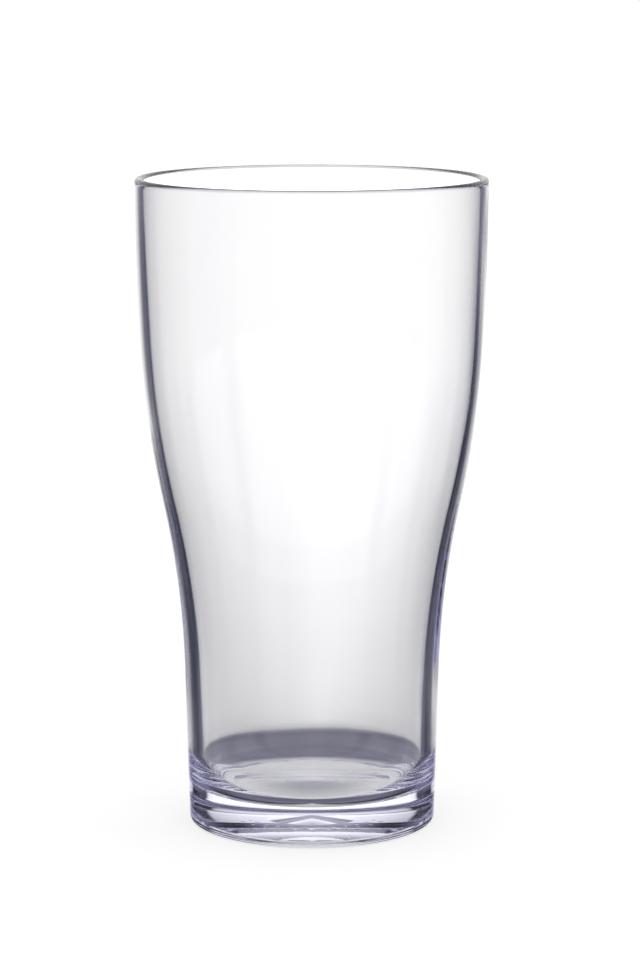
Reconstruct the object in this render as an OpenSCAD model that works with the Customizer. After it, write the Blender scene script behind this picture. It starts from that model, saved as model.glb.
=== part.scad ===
// Pint glass of clear moulded plastic, made in one piece: an upright foot with a thick solid
// base, a waist that flares into a nearly upright drinking wall, and a fully rounded lip.
// The origin is the centre of the foot on the surface that the glass stands on. +Z is up.

/* [Outside] */
// Outer diameter at the rim
rim_d = 86.5; // [84:0.5:90]
// Overall height
height = 160.5; // [156:0.5:168]
// Outer diameter of the wall, carried down to the table
foot_d = 61.2; // [58:0.2:64]
// Height at which the flare starts
flare_start = 39.7; // [34:0.1:44]
// Height at which the flare is steepest
flare_mid = 80.2; // [74:0.1:86]
// Height at which the flare ends
flare_end = 122.7; // [116:0.1:130]
// Slope of the wall below the flare, in mm out for each mm up
foot_slope = 0.029; // [0.02:0.001:0.04]
// Slope of the wall where the flare ends
upper_slope = 0.045; // [0.03:0.001:0.06]
// Slope of the wall at the rim
rim_slope = 0.005; // [0:0.001:0.02]
// Radius of the rounded edge where the wall turns under the foot
foot_edge_r = 1.2; // [0.5:0.1:2]

/* [Wall] */
// Wall thickness below the flare
wall_low = 3.8; // [3.2:0.1:4.2]
// Wall thickness above the flare and at the lip
wall_high = 2.1; // [1.8:0.1:2.4]
// Height at which the wall starts to thin
thin_start = 28; // [24:1:50]
// Height at which the wall has reached its upper thickness
thin_end = 108; // [98:1:116]

/* [Inside floor] */
// Height of the inside floor at its edge
floor_z = 9; // [7.5:0.1:12]
// How far the floor dips at its centre
floor_dip = 0.3; // [0:0.1:0.8]
// Height of the fillet between the floor and the inside wall
fillet_h = 10; // [5:0.5:14]
// Width of the fillet between the floor and the inside wall
fillet_w = 5.4; // [4:0.2:9]

/* [Underside] */
// Width of the flat ring that the glass stands on
ring_w = 8.4; // [6:0.2:9]
// Depth of the recess at the edge of the standing ring
recess_depth = 0.3; // [0.2:0.1:0.8]
// How much deeper the recess is at its centre
recess_dome = 2.2; // [0.5:0.1:3]
// Radius of the conical hollow in the middle, where the plastic was fed in
gate_r = 7; // [4:0.5:9]
// Extra depth of the conical hollow
gate_rise = 1.2; // [0.4:0.1:1.8]

/* [Grip dots] */
// Rings of raised dots in the recess
dot_rings = 2; // [1:1:3]
// Dots in each ring
dot_count = 24; // [12:1:30]
// Diameter of a dot
dot_d = 1; // [0.6:0.1:1.3]
// How far a dot stands out of the recess
dot_h = 0.1; // [0.05:0.05:0.25]
// Radius of the outermost ring of dots
dot_ring_r = 12; // [12:0.5:18]
// Distance between neighbouring rings
dot_pitch = 2; // [1.6:0.1:2]

/* [Hidden] */
$fn = 180;
rim_r = rim_d / 2;
foot_r = foot_d / 2;
lip_r = wall_high / 2;
recess_r = foot_r - foot_edge_r - ring_w;
recess_lead = recess_depth / 2;
dot_root = 0.5;
flare_steps = 12;
upper_steps = 4;
edge_steps = 6;
lip_steps = 12;
fillet_steps = 12;
floor_steps = 6;
recess_steps = 7;

// Slope of the wall half way up the flare, which brings the rim to its diameter
steep_slope = (2 * (rim_r - foot_r) - foot_slope * (flare_start + flare_mid)
    - upper_slope * (height - flare_mid) - rim_slope * (height - flare_end))
    / (flare_end - flare_start);

// Radius gained up to height z on a stretch from a to b whose slope goes evenly from s_a to s_b
function gain(z, a, b, s_a, s_b) =
    let (t = min(max(z, a), b) - a)
    s_a * t + (s_b - s_a) * t * t / (2 * (b - a));

// Radius of the outside of the wall at height z
function outer_r(z) = foot_r
    + gain(z, 0, flare_start, foot_slope, foot_slope)
    + gain(z, flare_start, flare_mid, foot_slope, steep_slope)
    + gain(z, flare_mid, flare_end, steep_slope, upper_slope)
    + gain(z, flare_end, height, upper_slope, rim_slope);

// Share of the thinning that is done at height z, easing in and out
function thinned(z) =
    let (t = min(max((z - thin_start) / (thin_end - thin_start), 0), 1))
    t * t * (3 - 2 * t);

// Radius of the inside of the wall at height z
function inner_r(z) = outer_r(z) - wall_low + (wall_low - wall_high) * thinned(z);

// Points of a curve about [r, z] from angle a0 to angle a1, an arc when wide and tall are equal
function arc(r, z, wide, tall, a0, a1, steps) =
    [for (i = [0 : steps]) let (a = a0 + (a1 - a0) * i / steps)
        [r + wide * cos(a), z + tall * sin(a)]];

// Heights of the wall's points from the start of the flare to the lip
wall_heights = concat(
    [for (i = [0 : flare_steps - 1]) flare_start + (flare_mid - flare_start) * i / flare_steps],
    [for (i = [0 : flare_steps - 1]) flare_mid + (flare_end - flare_mid) * i / flare_steps],
    [for (i = [0 : upper_steps - 1])
        flare_end + (height - lip_r - flare_end) * i / upper_steps]);

lip_mid_r = outer_r(height - lip_r) - lip_r;
fillet_z = floor_z + fillet_h;
fillet_mid_r = inner_r(fillet_z) - fillet_w;

// Height of the floor at radius r, a shallow bowl
function floor_at(r) = floor_z - floor_dip * (1 - pow(r / fillet_mid_r, 2));

// Height of the recess at radius r, a shallow dome
function recess_at(r) = recess_depth + recess_dome * (1 - pow(r / recess_r, 2));

// Half of the section through the axis, from the recess round the outside to the floor
section = concat(
    [[0, recess_at(0) + gate_rise]],
    [for (i = [0 : recess_steps])
        let (r = gate_r + (recess_r - gate_r) * i / recess_steps) [r, recess_at(r)]],
    [[recess_r + recess_lead, 0]],
    arc(outer_r(foot_edge_r) - foot_edge_r, foot_edge_r, foot_edge_r, foot_edge_r, -90, 0,
        edge_steps),
    [for (z = wall_heights) [outer_r(z), z]],
    arc(lip_mid_r, height - lip_r, lip_r, lip_r, 0, 180, lip_steps),
    [for (i = [1 : len(wall_heights)])
        let (z = wall_heights[len(wall_heights) - i]) [inner_r(z), z]],
    arc(fillet_mid_r, fillet_z, fillet_w, fillet_h, 0, -90, fillet_steps),
    [for (i = [1 : floor_steps])
        let (r = fillet_mid_r * (1 - i / floor_steps)) [r, floor_at(r)]]);

// One ring of dots at radius r, turned by half a space when it is an odd one
module ring_of_dots(r, shift) {
    for (i = [0 : dot_count - 1])
        rotate((i + shift) * 360 / dot_count)
            translate([r, 0, recess_at(r) - dot_h])
                cylinder(h = dot_h + dot_root, d = dot_d, $fn = 24);
}

module glass() {
    color([0.86, 0.87, 0.93, 0.4]) {
        rotate_extrude() polygon(section);
        for (ring = [0 : dot_rings - 1])
            ring_of_dots(dot_ring_r - ring * dot_pitch, ring % 2 / 2);
    }
}

glass();
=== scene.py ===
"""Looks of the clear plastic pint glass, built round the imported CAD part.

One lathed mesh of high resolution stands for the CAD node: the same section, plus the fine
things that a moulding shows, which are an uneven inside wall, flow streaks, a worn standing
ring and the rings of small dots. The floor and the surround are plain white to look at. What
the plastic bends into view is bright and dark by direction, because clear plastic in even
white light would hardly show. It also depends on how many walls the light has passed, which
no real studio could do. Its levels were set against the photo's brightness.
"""
import math

import bpy
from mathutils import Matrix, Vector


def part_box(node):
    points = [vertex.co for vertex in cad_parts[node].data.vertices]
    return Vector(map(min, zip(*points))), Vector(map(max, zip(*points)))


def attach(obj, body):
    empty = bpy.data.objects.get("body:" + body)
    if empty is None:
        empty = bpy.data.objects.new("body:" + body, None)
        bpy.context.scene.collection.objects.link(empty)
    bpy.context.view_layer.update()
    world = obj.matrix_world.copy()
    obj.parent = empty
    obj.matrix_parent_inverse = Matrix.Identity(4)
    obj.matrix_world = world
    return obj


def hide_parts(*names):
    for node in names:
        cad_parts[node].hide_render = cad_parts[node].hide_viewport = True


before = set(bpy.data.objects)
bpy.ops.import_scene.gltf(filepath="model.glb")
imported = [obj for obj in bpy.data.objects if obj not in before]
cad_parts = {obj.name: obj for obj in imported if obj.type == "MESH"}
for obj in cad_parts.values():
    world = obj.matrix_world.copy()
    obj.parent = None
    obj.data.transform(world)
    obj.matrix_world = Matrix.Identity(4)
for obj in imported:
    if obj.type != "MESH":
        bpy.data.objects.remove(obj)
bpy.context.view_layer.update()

MM = 0.001

# ---------------------------------------------------------------- sizes of the part, in mm
low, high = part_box("glass")
HEIGHT = (high[2] - low[2]) / MM
RIM_R = 86.5 / 2
FOOT_R = 61.2 / 2
FLARE_START, FLARE_MID, FLARE_END = 39.7, 80.2, 122.7
FOOT_SLOPE, UPPER_SLOPE, RIM_SLOPE = 0.029, 0.045, 0.005
WALL_LOW, WALL_HIGH = 3.8, 2.1
THIN_START, THIN_END = 28.0, 108.0
FOOT_EDGE_R = 1.2
FLOOR_Z, FLOOR_DIP = 9.0, 0.3
FILLET_H, FILLET_W = 10.0, 5.4
RING_W = 8.4
RECESS_DEPTH, RECESS_DOME = 0.3, 2.2
GATE_R, GATE_RISE = 7.0, 1.2
DOT_RINGS, DOT_COUNT = 2, 24
DOT_D, DOT_H, DOT_BEVEL = 1.0, 0.04, 0.5
DOT_RING_R, DOT_PITCH = 12.0, 2.0

# unevenness of the inside wall: height in mm, waves round the glass, mm of rise for a turn
WOBBLES = [(0.03, 3, 23), (0.016, 7, -17), (0.005, 19, 41), (0.003, 43, 60)]
WOBBLE_FROM, WOBBLE_FADE = 22, 12

LIP_R = WALL_HIGH / 2
RECESS_R = FOOT_R - FOOT_EDGE_R - RING_W
STEEP_SLOPE = (2 * (RIM_R - FOOT_R) - FOOT_SLOPE * (FLARE_START + FLARE_MID)
               - UPPER_SLOPE * (HEIGHT - FLARE_MID)
               - RIM_SLOPE * (HEIGHT - FLARE_END)) / (FLARE_END - FLARE_START)

# ---------------------------------------------------------------- resolution of the mesh
SEGMENTS = 576
WALL_STEPS = 170
RECESS_STEPS = 120
EDGE_STEPS = 10
LIP_STEPS = 20
FILLET_STEPS = 32
FLOOR_STEPS = 24
# the wall's points stop this far above the fillet, in mm
FILLET_GAP = 0.3
# edges that turn by more than this many degrees stay sharp
SHARP_FROM = 25
ON_AXIS = 1e-6


def gain(z, a, b, slope_a, slope_b):
    """Radius gained up to height z on a stretch whose slope goes evenly from a to b."""
    t = min(max(z, a), b) - a
    return slope_a * t + (slope_b - slope_a) * t * t / (2 * (b - a))


def outer_r(z):
    """Radius of the outside of the wall at height z."""
    return (FOOT_R + gain(z, 0, FLARE_START, FOOT_SLOPE, FOOT_SLOPE)
            + gain(z, FLARE_START, FLARE_MID, FOOT_SLOPE, STEEP_SLOPE)
            + gain(z, FLARE_MID, FLARE_END, STEEP_SLOPE, UPPER_SLOPE)
            + gain(z, FLARE_END, HEIGHT, UPPER_SLOPE, RIM_SLOPE))


def inner_r(z):
    """Radius of the inside of the wall at height z."""
    t = min(max((z - THIN_START) / (THIN_END - THIN_START), 0), 1)
    return outer_r(z) - WALL_LOW + (WALL_LOW - WALL_HIGH) * t * t * (3 - 2 * t)


def recess_at(r):
    """Height of the recess in the underside at radius r, with the cone in its middle."""
    z = RECESS_DEPTH + RECESS_DOME * (1 - (r / RECESS_R) ** 2)
    return z + GATE_RISE * max(0, 1 - r / GATE_R)


def arc(r, z, wide, tall, a0, a1, steps):
    """Points of a quarter or half ellipse about (r, z)."""
    points = []
    for i in range(steps + 1):
        a = math.radians(a0 + (a1 - a0) * i / steps)
        points.append((r + wide * math.cos(a), z + tall * math.sin(a)))
    return points


def section():
    """Half of the section, from the middle of the underside round to the middle of the floor.

    The second result is the range of its points that lie on the inside wall.
    """
    fillet_z = FLOOR_Z + FILLET_H
    flat_r = inner_r(fillet_z) - FILLET_W
    top = HEIGHT - LIP_R
    wall = [FOOT_EDGE_R + (top - FOOT_EDGE_R) * i / WALL_STEPS for i in range(1, WALL_STEPS)]
    points = [(RECESS_R * i / RECESS_STEPS, recess_at(RECESS_R * i / RECESS_STEPS))
              for i in range(RECESS_STEPS + 1)]
    points.append((RECESS_R + RECESS_DEPTH / 2, 0))
    points += arc(outer_r(FOOT_EDGE_R) - FOOT_EDGE_R, FOOT_EDGE_R, FOOT_EDGE_R, FOOT_EDGE_R,
                  -90, 0, EDGE_STEPS)
    points += [(outer_r(z), z) for z in wall]
    points += arc(outer_r(top) - LIP_R, top, LIP_R, LIP_R, 0, 180, LIP_STEPS)
    inner_from = len(points)
    points += [(inner_r(z), z) for z in reversed(wall) if z > fillet_z + FILLET_GAP]
    inner_to = len(points)
    points += arc(flat_r, fillet_z, FILLET_W, FILLET_H, 0, -90, FILLET_STEPS)
    for i in range(1, FLOOR_STEPS + 1):
        r = flat_r * (1 - i / FLOOR_STEPS)
        points.append((r, FLOOR_Z - FLOOR_DIP * (1 - (r / flat_r) ** 2)))
    return points, range(inner_from, inner_to)


def dot_drop(r, angle):
    """How far a dot brings the recess down at this place."""
    for ring in range(DOT_RINGS):
        ring_r = DOT_RING_R - ring * DOT_PITCH
        if abs(r - ring_r) < DOT_D:
            turn = angle * DOT_COUNT / (2 * math.pi) - ring % 2 / 2
            along = (turn - round(turn)) * 2 * math.pi * r / DOT_COUNT
            edge = DOT_D / 2 - math.hypot(along, r - ring_r)
            return DOT_H * min(1, max(0, edge / DOT_BEVEL))
    return 0


def wobble(angle, z):
    """Unevenness of the inside wall, left by the flow of the plastic."""
    fade = min(1, max(0, (z - WOBBLE_FROM) / WOBBLE_FADE))
    fade *= min(1, max(0, (HEIGHT - LIP_R - z) / WOBBLE_FADE))
    return fade * sum(size * math.sin(waves * angle + z / rise + waves)
                      for size, waves, rise in WOBBLES)


def lathe(name, points, recess_points, inner_points):
    """The section turned about the axis, with the dots pressed out of the recess."""
    verts, faces, rows = [], [], []
    for n, (r, z) in enumerate(points):
        if r < ON_AXIS:
            rows.append([len(verts)])
            verts.append((0, 0, z * MM))
            continue
        rows.append(range(len(verts), len(verts) + SEGMENTS))
        for k in range(SEGMENTS):
            a = 2 * math.pi * k / SEGMENTS
            drop = dot_drop(r, a) if n < recess_points else 0
            radius = r + wobble(a, z) if n in inner_points else r
            verts.append((radius * MM * math.cos(a), radius * MM * math.sin(a), (z - drop) * MM))
    for a, b in zip(rows, rows[1:]):
        for k in range(SEGMENTS):
            k2 = (k + 1) % SEGMENTS
            if len(a) == 1:
                faces.append((a[0], b[k2], b[k]))
            elif len(b) == 1:
                faces.append((a[k], a[k2], b[0]))
            else:
                faces.append((a[k], a[k2], b[k2], b[k]))
    mesh = bpy.data.meshes.new(name)
    mesh.from_pydata(verts, [], faces)
    mesh.update()
    mesh.shade_smooth()
    mesh.set_sharp_from_angle(angle=math.radians(SHARP_FROM))
    obj = bpy.data.objects.new(name, mesh)
    bpy.context.collection.objects.link(obj)
    return obj


# the dips between the lights: how sharp they are, and how far they are turned, in degrees
SOFT_POWER = 1.2
SOFT_TURN = 2.0
# the surfaces that light passes in one wall
ONE_WALL = 2
# lights for each half turn that the dips lie between
SOFT_LIGHTS = 4
DARK_HUE = (0.56, 0.57, 1.0, 1)
# above this level, at this rate, the surround has lost its violet
HUE_RATE = 2


class Nodes:
    """Short calls for building a node tree."""

    def __init__(self, tree):
        self.tree = tree
        tree.nodes.clear()

    def add(self, kind, **props):
        node = self.tree.nodes.new(kind)
        for key, value in props.items():
            setattr(node, key, value)
        return node

    def link(self, out, socket):
        self.tree.links.new(out, socket)

    def math(self, operation, *values):
        node = self.add("ShaderNodeMath", operation=operation)
        for socket, value in zip(node.inputs, values):
            if isinstance(value, (int, float)):
                socket.default_value = value
            else:
                self.link(value, socket)
        return node.outputs[0]

    def curve(self, value, points):
        """Straight lines through points of (value, result), over the span of the points."""
        node = self.add("ShaderNodeFloatCurve")
        line = node.mapping.curves[0]
        first, last = points[0][0], points[-1][0]
        while len(line.points) < len(points):
            line.points.new(0.5, 0.5)
        for point, (place, result) in zip(line.points, points):
            point.location = ((place - first) / (last - first), result)
            point.handle_type = "VECTOR"
        node.mapping.use_clip = False
        node.mapping.update()
        share = self.add("ShaderNodeMapRange")
        share.inputs["From Min"].default_value = first
        share.inputs["From Max"].default_value = last
        self.link(value, share.inputs["Value"])
        self.link(share.outputs[0], node.inputs["Value"])
        return node.outputs[0]

    def degrees(self, radians):
        return self.math("MULTIPLY", radians, 180 / math.pi)

    def across(self, place):
        """Distance of a place from the axis of the glass."""
        flat = self.add("ShaderNodeVectorMath", operation="MULTIPLY")
        flat.inputs[1].default_value = (1, 1, 0)
        length = self.add("ShaderNodeVectorMath", operation="LENGTH")
        self.link(place, flat.inputs[0])
        self.link(flat.outputs[0], length.inputs[0])
        return length.outputs["Value"]

    def dipped(self, turn, dip):
        """1 straight ahead and at every eighth of a turn, and less by dip in between."""
        turned = self.math("SUBTRACT", turn, math.radians(SOFT_TURN))
        wave = self.math("SINE", self.math("MULTIPLY", turned, SOFT_LIGHTS))
        wave = self.math("POWER", self.math("ABSOLUTE", wave), SOFT_POWER)
        return self.math("SUBTRACT", 1, self.math("MULTIPLY", wave, dip))

    def passed(self, path):
        """Two results: 1 for light through more than one wall, and 1 for reflected light."""
        many = self.math("GREATER_THAN", path.outputs["Transmission Depth"], ONE_WALL + 0.5)
        mirrored = self.math("GREATER_THAN", path.outputs["Glossy Depth"], 0.5)
        return many, mirrored

    def direct(self, path):
        """1 for what the camera sees without the plastic, and for light onto the floor."""
        return self.math("MAXIMUM", path.outputs["Is Camera Ray"],
                         path.outputs["Is Diffuse Ray"])

    def hue(self, level):
        """The colour of the surround's light and of the floor's painted light: the darker it is, the
        more violet.
        """
        node = self.add("ShaderNodeMix", data_type="RGBA")
        node.inputs[6].default_value = DARK_HUE
        node.inputs[7].default_value = (1, 1, 1, 1)
        share = self.math("MULTIPLY", level, HUE_RATE)
        self.link(self.math("MINIMUM", share, 1), node.inputs[0])
        return node.outputs[2]

    def mix(self, factor, a, b):
        node = self.add("ShaderNodeMix", data_type="FLOAT")
        for socket, value in zip((node.inputs[0], node.inputs[2], node.inputs[3]),
                                 (factor, a, b)):
            if isinstance(value, (int, float)):
                socket.default_value = value
            else:
                self.link(value, socket)
        return node.outputs[0]


# ---------------------------------------------------------------- material of the glass
PLASTIC_IOR = 1.586
TINT = (0.67, 0.66, 0.85, 1)
TINT_DENSITY = 13.0
# scales of the noises: flow streaks, table scuffs, smears of the polish, finish of the mould
STREAK_SCALE, PIT_SCALE, SMEAR_SCALE, MOULD_SCALE = 260, 900, 45, 420
STREAK_DETAIL, PIT_DETAIL, SMEAR_DETAIL, MOULD_DETAIL = 3, 4, 5, 3
# a streak is this much finer round the wall than it is tall
STREAK_STRETCH = 0.02
# bump heights, in metres
STREAK_HEIGHT, PIT_DEPTH, MOULD_HEIGHT = 0.000003, 0.00001, 0.00001
PIT_STRENGTH = 0.8
# heights, in metres, between which things come or go
STREAK_FROM, STREAK_FULL = 0.022, 0.04
WEAR_TOP = 0.0003
RECESS_TOP = 0.005
LIP_WEAR_FROM = HEIGHT * MM - 0.0008
# mean roughness of each part; a noise has a mean of a half
LIP_ROUGHNESS, WEAR_ROUGHNESS, POLISH_ROUGHNESS = 0.3, 0.03, 0.012


def clear_plastic(name):
    """Polished clear plastic: streaks down the wall, scuffs and wear round the foot."""
    mat = bpy.data.materials.new(name)
    mat.use_nodes = True
    n = Nodes(mat.node_tree)
    out = n.add("ShaderNodeOutputMaterial")
    shader = n.add("ShaderNodeBsdfPrincipled")
    shader.inputs["Base Color"].default_value = (1, 1, 1, 1)
    shader.inputs["Transmission Weight"].default_value = 1
    shader.inputs["IOR"].default_value = PLASTIC_IOR
    n.link(shader.outputs[0], out.inputs["Surface"])
    volume = n.add("ShaderNodeVolumeAbsorption")
    volume.inputs["Color"].default_value = TINT
    volume.inputs["Density"].default_value = TINT_DENSITY
    n.link(volume.outputs[0], out.inputs["Volume"])

    place = n.add("ShaderNodeTexCoord").outputs["Object"]
    split = n.add("ShaderNodeSeparateXYZ")
    n.link(place, split.inputs[0])
    z = split.outputs[2]

    # flow streaks run up the wall, so they hardly change with height
    stretch = n.add("ShaderNodeMapping")
    stretch.inputs["Scale"].default_value = (1, 1, STREAK_STRETCH)
    n.link(place, stretch.inputs["Vector"])
    streaks = n.add("ShaderNodeTexNoise")
    streaks.inputs["Scale"].default_value = STREAK_SCALE
    streaks.inputs["Detail"].default_value = STREAK_DETAIL
    n.link(stretch.outputs[0], streaks.inputs["Vector"])

    # scuffs and small pits are only where the foot meets the table
    pits = n.add("ShaderNodeTexNoise")
    pits.inputs["Scale"].default_value = PIT_SCALE
    pits.inputs["Detail"].default_value = PIT_DETAIL
    n.link(place, pits.inputs["Vector"])
    worn = n.math("MULTIPLY_ADD", z, -1 / WEAR_TOP, 1)
    worn = n.math("MINIMUM", n.math("MAXIMUM", worn, 0), 1)

    smear = n.add("ShaderNodeTexNoise")
    smear.inputs["Scale"].default_value = SMEAR_SCALE
    smear.inputs["Detail"].default_value = SMEAR_DETAIL
    n.link(place, smear.inputs["Vector"])
    # the recess keeps the slightly uneven finish of the mould
    recess = n.math("MULTIPLY", n.math("LESS_THAN", n.across(place), RECESS_R * MM),
                    n.math("LESS_THAN", z, RECESS_TOP))
    mould = n.add("ShaderNodeTexNoise")
    mould.inputs["Scale"].default_value = MOULD_SCALE
    mould.inputs["Detail"].default_value = MOULD_DETAIL
    n.link(place, mould.inputs["Vector"])

    rough = n.mix(worn, n.math("MULTIPLY", smear.outputs[0], 2 * POLISH_ROUGHNESS),
                  n.math("MULTIPLY", pits.outputs[0], 2 * WEAR_ROUGHNESS))
    lip = n.math("GREATER_THAN", z, LIP_WEAR_FROM)
    rough = n.mix(lip, rough, n.math("MULTIPLY", smear.outputs[0], 2 * LIP_ROUGHNESS))
    n.link(rough, shader.inputs["Roughness"])

    first = n.add("ShaderNodeBump")
    first.inputs["Distance"].default_value = STREAK_HEIGHT
    on_wall = n.add("ShaderNodeMapRange")
    on_wall.inputs["From Min"].default_value = STREAK_FROM
    on_wall.inputs["From Max"].default_value = STREAK_FULL
    n.link(z, on_wall.inputs["Value"])
    n.link(on_wall.outputs[0], first.inputs["Strength"])
    n.link(streaks.outputs[0], first.inputs["Height"])
    second = n.add("ShaderNodeBump")
    second.inputs["Distance"].default_value = PIT_DEPTH
    n.link(n.math("MULTIPLY", worn, PIT_STRENGTH), second.inputs["Strength"])
    n.link(pits.outputs[0], second.inputs["Height"])
    n.link(first.outputs[0], second.inputs["Normal"])
    third = n.add("ShaderNodeBump")
    third.inputs["Distance"].default_value = MOULD_HEIGHT
    n.link(recess, third.inputs["Strength"])
    n.link(mould.outputs[0], third.inputs["Height"])
    n.link(second.outputs[0], third.inputs["Normal"])
    n.link(third.outputs[0], shader.inputs["Normal"])
    return mat


points, inner_points = section()
glass = lathe("moulded_glass", points, RECESS_STEPS, inner_points)
glass.data.materials.append(clear_plastic("clear_plastic_look"))
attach(glass, "root")
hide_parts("glass")

# ---------------------------------------------------------------- floor
FLOOR_SIZE = 6.0
FLOOR_BELOW = 0.00005
FLOOR_TONE = 0.42
FLOOR_GRAIN, FLOOR_GRAIN_SCALE = 0.03, 30
FLOOR_GLOW = 0.62
FLOOR_SHADE = 0.26
# distance from the axis in metres, and the light that comes from there through both walls,
# set against the photo's brightness down the middle of the glass
# painted light and shade on the floor: dark close round the foot as painted shade, brighter further
# out
PAINTED_FLOOR_LEVELS = [(0, 0.27), (0.006, 0.3), (0.013, 0.46), (0.02, 0.72), (0.03, 0.7),
                (0.036, 0.22), (0.06, 0.2), (0.07, 0.16), (0.076, 0.28), (0.082, 0.58), (0.09, 0.74),
                (0.099, 0.84), (0.115, 0.95), (0.15, 1.02), (0.21, 1.1), (0.3, 1.14), (0.4, 1.2)]
# the share of the dips between the lights at a distance from the axis
PAINTED_FLOOR_DIPS = [(0, 0), (0.035, 0), (0.1, FLOOR_SHADE), (0.4, FLOOR_SHADE)]


def sweep_with_painted_shade(name):
    """Plain white for the camera; seen through the plastic, a glow of painted light, darker close
    round the foot as painted shade.
    """
    mat = bpy.data.materials.new(name)
    mat.use_nodes = True
    n = Nodes(mat.node_tree)
    out = n.add("ShaderNodeOutputMaterial")
    shader = n.add("ShaderNodeBsdfDiffuse")
    grain = n.add("ShaderNodeTexNoise")
    grain.inputs["Scale"].default_value = FLOOR_GRAIN_SCALE
    place = n.add("ShaderNodeTexCoord")
    n.link(place.outputs["Object"], grain.inputs["Vector"])
    tone = n.add("ShaderNodeMapRange")
    tone.inputs["To Min"].default_value = FLOOR_TONE
    tone.inputs["To Max"].default_value = FLOOR_TONE + FLOOR_GRAIN
    n.link(grain.outputs[0], tone.inputs["Value"])
    n.link(tone.outputs[0], shader.inputs["Color"])
    glow = n.add("ShaderNodeEmission")
    glow.inputs["Strength"].default_value = FLOOR_GLOW
    both = n.add("ShaderNodeAddShader")
    n.link(shader.outputs[0], both.inputs[0])
    n.link(glow.outputs[0], both.inputs[1])

    # what the plastic bends into view from the floor is painted light: a glow with painted shade
    # close round the foot, brighter further out, and painted dips by direction
    path = n.add("ShaderNodeLightPath")
    split = n.add("ShaderNodeSeparateXYZ")
    n.link(place.outputs["Object"], split.inputs[0])
    turn = n.math("ARCTAN2", split.outputs[0], split.outputs[1])
    # painted light and shade of the floor, seen only through the plastic
    painted_floor_glow = n.add("ShaderNodeEmission")
    away = n.across(place.outputs["Object"])
    level = n.math("MULTIPLY", n.curve(away, PAINTED_FLOOR_LEVELS),
                   n.dipped(turn, n.curve(away, PAINTED_FLOOR_DIPS)))
    n.link(level, painted_floor_glow.inputs["Strength"])
    n.link(n.hue(level), painted_floor_glow.inputs["Color"])
    # only light that came through both walls without a reflection sees the floor at all
    unseen = n.add("ShaderNodeBsdfTransparent")
    others = n.add("ShaderNodeMixShader")
    many, mirrored = n.passed(path)
    n.link(n.math("MULTIPLY", many, n.math("SUBTRACT", 1, mirrored)), others.inputs[0])
    n.link(unseen.outputs[0], others.inputs[1])
    n.link(painted_floor_glow.outputs[0], others.inputs[2])
    chosen = n.add("ShaderNodeMixShader")
    n.link(n.direct(path), chosen.inputs[0])
    n.link(others.outputs[0], chosen.inputs[1])
    n.link(both.outputs[0], chosen.inputs[2])
    n.link(chosen.outputs[0], out.inputs["Surface"])
    mat.cycles.emission_sampling = "NONE"
    return mat


def floor_plane(name, size, z):
    h = size / 2
    mesh = bpy.data.meshes.new(name)
    mesh.from_pydata([(-h, -h, z), (h, -h, z), (h, h, z), (-h, h, z)], [], [(0, 1, 2, 3)])
    obj = bpy.data.objects.new(name, mesh)
    bpy.context.collection.objects.link(obj)
    return obj


# the floor: plain white for the camera, with painted shade round the foot where seen through the
# plastic
floor = floor_plane("floor", FLOOR_SIZE, low[2] - FLOOR_BELOW)
floor.data.materials.append(sweep_with_painted_shade("white_sweep_painted_shade"))

# ---------------------------------------------------------------- surround
# Plain white to look at and to light the floor. What the clear plastic bends into view is
# bright behind it, with a dark card on either side. Straight ahead is the photo's direction
# of view, and the levels were set to come near the photo's brightness in that view.
BACKDROP = 1.05
GAIN = 1.13
# Points of (degrees from straight ahead, light) and of (degrees above level, light).
# Light that rises through one wall or the base:
CARDS = [(0, 1), (5, 1), (25, 0.8), (44, 0.6), (47, 0.4), (50, 0.012), (74, 0.012),
         (82, 0.5), (92, 0.9), (108, 1), (114, 0.3), (122, 0.3), (128, 1), (180, 1)]
# light that falls through one wall only, without a reflection:
OPEN_CARDS = [(0, 1), (5, 1), (25, 0.8), (44, 0.75), (49, 0.6), (52, 0.012), (72, 0.012),
              (78, 0.7), (90, 1), (180, 1)]
# by height, for light through both walls, and for the rest:
LEVELS = [(-90, 0.8), (-30, 0.8), (-15, 0.9), (0, 1.15), (20, 1.1), (30, 0.8), (40, 0.5),
          (90, 0.5)]
LEVELS_ONCE = [(-90, 0.9), (-45, 0.8), (-28, 0.6), (-18, 0.95), (-12, 1.7), (-5, 1.8),
               (0, 1.6), (8, 1.2), (20, 1.1), (30, 0.8), (40, 0.5), (90, 0.5)]
# light that falls and was reflected, which draws the dark edges of the wall:
EDGE_CARDS = [(0, 0.6), (12, 0.52), (20, 0.28), (27, 0.06), (38, 0.03), (52, 0.2), (75, 0.25),
              (110, 0.2), (180, 0.2)]
# the least that those edges show, by height:
EDGE_LEAST = [(-90, 0), (-13, 0.01), (-7.5, 0.06), (-2, 0.14), (0, 0.15), (90, 0.15)]
# depth of the dips, and the share of it for reflected light
SOFT_DIP = 0.25
MIRRORED_SOFT = 0.45


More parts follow.
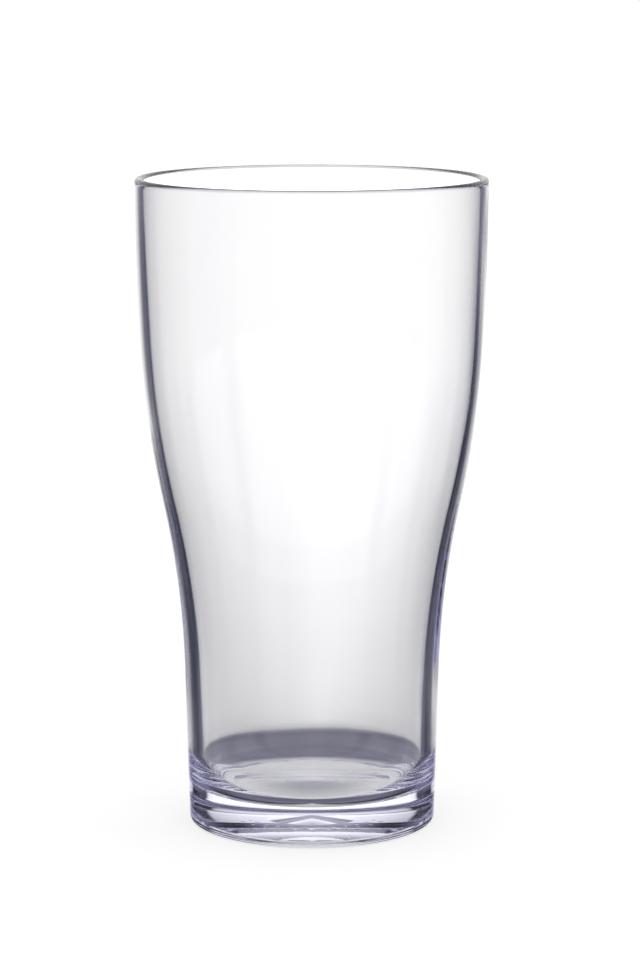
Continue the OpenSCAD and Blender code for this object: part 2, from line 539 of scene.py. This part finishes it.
def surround():
    """The world's light, by direction and by what the light has passed."""
    world = bpy.data.worlds.new("surround")
    bpy.context.scene.world = world
    world.use_nodes = True
    world.cycles.sampling_method = "NONE"
    n = Nodes(world.node_tree)
    out = n.add("ShaderNodeOutputWorld")
    light = n.add("ShaderNodeBackground")
    n.link(light.outputs[0], out.inputs["Surface"])
    way = n.add("ShaderNodeSeparateXYZ")
    n.link(n.add("ShaderNodeTexCoord").outputs["Generated"], way.inputs[0])
    turn = n.math("ARCTAN2", way.outputs[0], way.outputs[1])
    azimuth = n.degrees(n.math("ABSOLUTE", turn))
    elevation = n.degrees(n.math("ARCSINE", way.outputs[2]))
    path = n.add("ShaderNodeLightPath")
    soft = n.dipped(turn, SOFT_DIP)
    many, mirrored = n.passed(path)
    falling = n.math("LESS_THAN", elevation, 0)
    edges = n.math("MAXIMUM", n.curve(azimuth, EDGE_CARDS), n.curve(elevation, EDGE_LEAST))
    low_cards = n.mix(mirrored, n.curve(azimuth, OPEN_CARDS), edges)
    cards = n.mix(falling, n.curve(azimuth, CARDS), low_cards)
    softness = n.math("MULTIPLY", many, n.mix(mirrored, 1, MIRRORED_SOFT))
    across = n.mix(softness, cards, soft)
    level = n.mix(many, n.curve(elevation, LEVELS_ONCE), n.curve(elevation, LEVELS))
    seen = n.math("MULTIPLY", n.math("MULTIPLY", across, level), GAIN)
    level = n.mix(n.direct(path), seen, BACKDROP)
    n.link(level, light.inputs["Strength"])
    n.link(n.hue(level), light.inputs["Color"])


surround()

# ---------------------------------------------------------------- camera
LENS = 126.9
SENSOR = 36.0
CAMERA_PLACE = (0.002015, -0.8198, 0.22264)
CAMERA_DOWN = 9.43
CLIP_START = 0.01

camera_data = bpy.data.cameras.new("camera")
camera_data.lens = LENS
camera_data.sensor_width = SENSOR
camera_data.clip_start = CLIP_START
camera = bpy.data.objects.new("camera", camera_data)
bpy.context.collection.objects.link(camera)
camera.location = CAMERA_PLACE
camera.rotation_euler = (math.radians(90 - CAMERA_DOWN), 0, 0)
scene = bpy.context.scene
scene.camera = camera

# light is caught in the thick base for long, and that is what makes it violet rather than
# black; the picture is shown as it is, without a film curve
BOUNCES = 96
scene.cycles.max_bounces = BOUNCES
scene.cycles.transmission_bounces = BOUNCES
scene.cycles.glossy_bounces = BOUNCES
scene.cycles.use_denoising = True
scene.view_settings.view_transform = "Standard"
